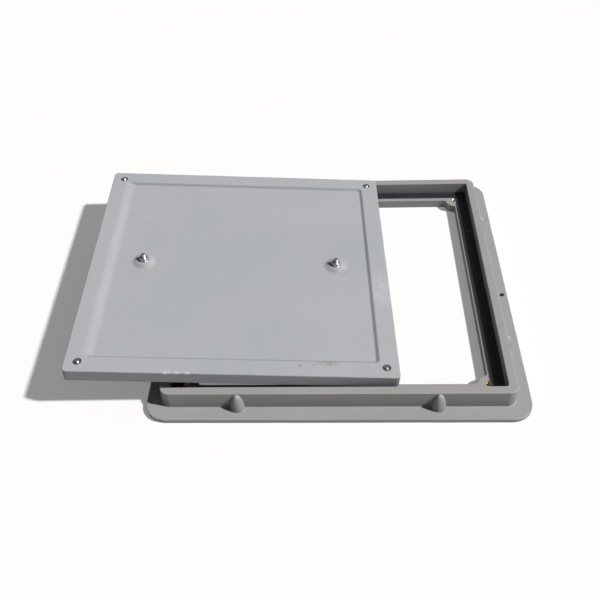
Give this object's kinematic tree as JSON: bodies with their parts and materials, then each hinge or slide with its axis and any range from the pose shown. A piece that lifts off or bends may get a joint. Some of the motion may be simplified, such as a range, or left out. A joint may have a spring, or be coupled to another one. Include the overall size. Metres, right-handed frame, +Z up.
{
  "type": "access cover",
  "caption": "Square composite access cover with flanged frame, rubber seal and flat sandwich lid with lifting bolts and corner lock screws.",
  "frame": {"origin": "middle of the whole set's floor rectangle, on the floor", "axes": "+Z up, +X to the side of the frame that the lid leaves open"},
  "size_m": [0.8552, 0.7, 0.1134],
  "materials": {
    "lid_grey": "moulded composite, smooth satin",
    "frame_grey": "moulded composite, matt",
    "deck_grey": "moulded composite, textured",
    "seal_black": "extruded rubber, semi-matt",
    "brass": "turned",
    "steel": "bright zinc"
  },
  "bodies": {
    "frame": {"frame": "frame_grey", "seal": "seal_black", "insert_1": "brass", "insert_2": "brass", "insert_3": "brass", "insert_4": "brass"},
    "lid": {"lid_pan": "lid_grey", "lid_deck": "deck_grey", "keeper_ring_1": "seal_black", "keeper_ring_2": "seal_black", "keeper_ring_3": "seal_black", "keeper_ring_4": "seal_black", "lift_bolt_1": "steel", "lift_bolt_2": "steel", "lift_washer_1": "steel", "lift_washer_2": "steel"},
    "lock_screw_1": {"lock_screw_1": "steel"},
    "lock_screw_2": {"lock_screw_2": "steel"},
    "lock_screw_3": {"lock_screw_3": "steel"},
    "lock_screw_4": {"lock_screw_4": "steel"},
    "lift_nut_1": {"lift_nut_1": "steel"},
    "lift_nut_2": {"lift_nut_2": "steel"}
  },
  "joints": [
    {"name": "lid_lift", "type": "slide", "parent": "frame", "child": "lid", "axis": [0, 0, 1], "range_m": [0, 0.3]},
    {"name": "lock_screw_1_drive", "type": "slide", "parent": "lid", "child": "lock_screw_1", "axis": [0.0767, 0.0025, 0.9971], "range_m": [0, 0.0065]},
    {"name": "lock_screw_2_drive", "type": "slide", "parent": "lid", "child": "lock_screw_2", "axis": [0.0767, 0.0025, 0.9971], "range_m": [0, 0.0065]},
    {"name": "lock_screw_3_drive", "type": "slide", "parent": "lid", "child": "lock_screw_3", "axis": [0.0767, 0.0025, 0.9971], "range_m": [0, 0.0065]},
    {"name": "lock_screw_4_drive", "type": "slide", "parent": "lid", "child": "lock_screw_4", "axis": [0.0767, 0.0025, 0.9971], "range_m": [0, 0.0065]},
    {"name": "lift_nut_1_turn", "type": "hinge", "parent": "lid", "child": "lift_nut_1", "pos_m": [-0.3137, -0.01369, 0.07318], "axis": [0.0767, 0.0025, 0.9971], "continuous": true},
    {"name": "lift_nut_2_turn", "type": "hinge", "parent": "lid", "child": "lift_nut_2", "pos_m": [0.07494, -0.00114, 0.04326], "axis": [0.0767, 0.0025, 0.9971], "continuous": true}
  ]
}
